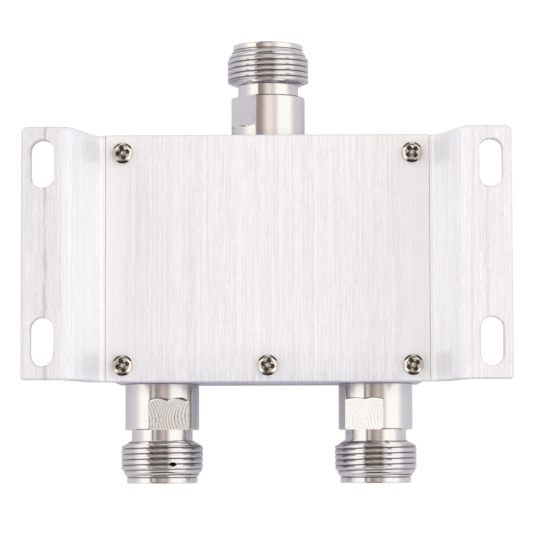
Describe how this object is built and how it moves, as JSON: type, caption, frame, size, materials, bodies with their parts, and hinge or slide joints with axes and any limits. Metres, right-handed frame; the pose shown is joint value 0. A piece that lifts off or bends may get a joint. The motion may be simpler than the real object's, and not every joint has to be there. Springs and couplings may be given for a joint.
{
  "type": "rf power splitter",
  "caption": "Coaxial radio-frequency power splitter: aluminium housing with slotted mounting ears, screwed lid, one threaded input jack and output jacks on the opposite end.",
  "frame": {"origin": "middle of the flat front face, on the surface that the part lies on", "axes": "+Z out of the lid towards the wall that the ears are screwed to, +Y towards the input jack, +X to the right seen from the lid with the input jack up"},
  "size_m": [0.0908, 0.0856, 0.0419],
  "materials": {
    "housing_aluminium": "etched bare extrusion with fine lines along its length",
    "lid_aluminium": "brushed lengthwise",
    "screw_nickel": "dull nickel plating",
    "jack_nickel": "bright nickel plating over turned brass",
    "white_insulator": "waxy white fluoropolymer",
    "gold_contact": "gold plating",
    "solder": "smooth solder",
    "board_laminate": "bare glass laminate",
    "copper": "bare copper foil",
    "resistor_ceramic": "dark chip ceramic"
  },
  "bodies": {
    "root": {"housing": "housing_aluminium", "lid": "lid_aluminium", "lid_screws": "screw_nickel", "board_screws": "screw_nickel", "input_jack_shell": "jack_nickel", "input_jack_insulator": "white_insulator", "input_jack_contact": "gold_contact", "input_jack_solder": "solder", "output_left_jack_shell": "jack_nickel", "output_left_jack_insulator": "white_insulator", "output_left_jack_contact": "gold_contact", "output_left_jack_solder": "solder", "output_right_jack_shell": "jack_nickel", "output_right_jack_insulator": "white_insulator", "output_right_jack_contact": "gold_contact", "output_right_jack_solder": "solder", "circuit_board": "board_laminate", "ground_foil": "copper", "splitter_track": "copper", "isolation_resistor_1": "resistor_ceramic", "isolation_resistor_2": "resistor_ceramic", "isolation_resistor_3": "resistor_ceramic"}
  },
  "joints": []
}
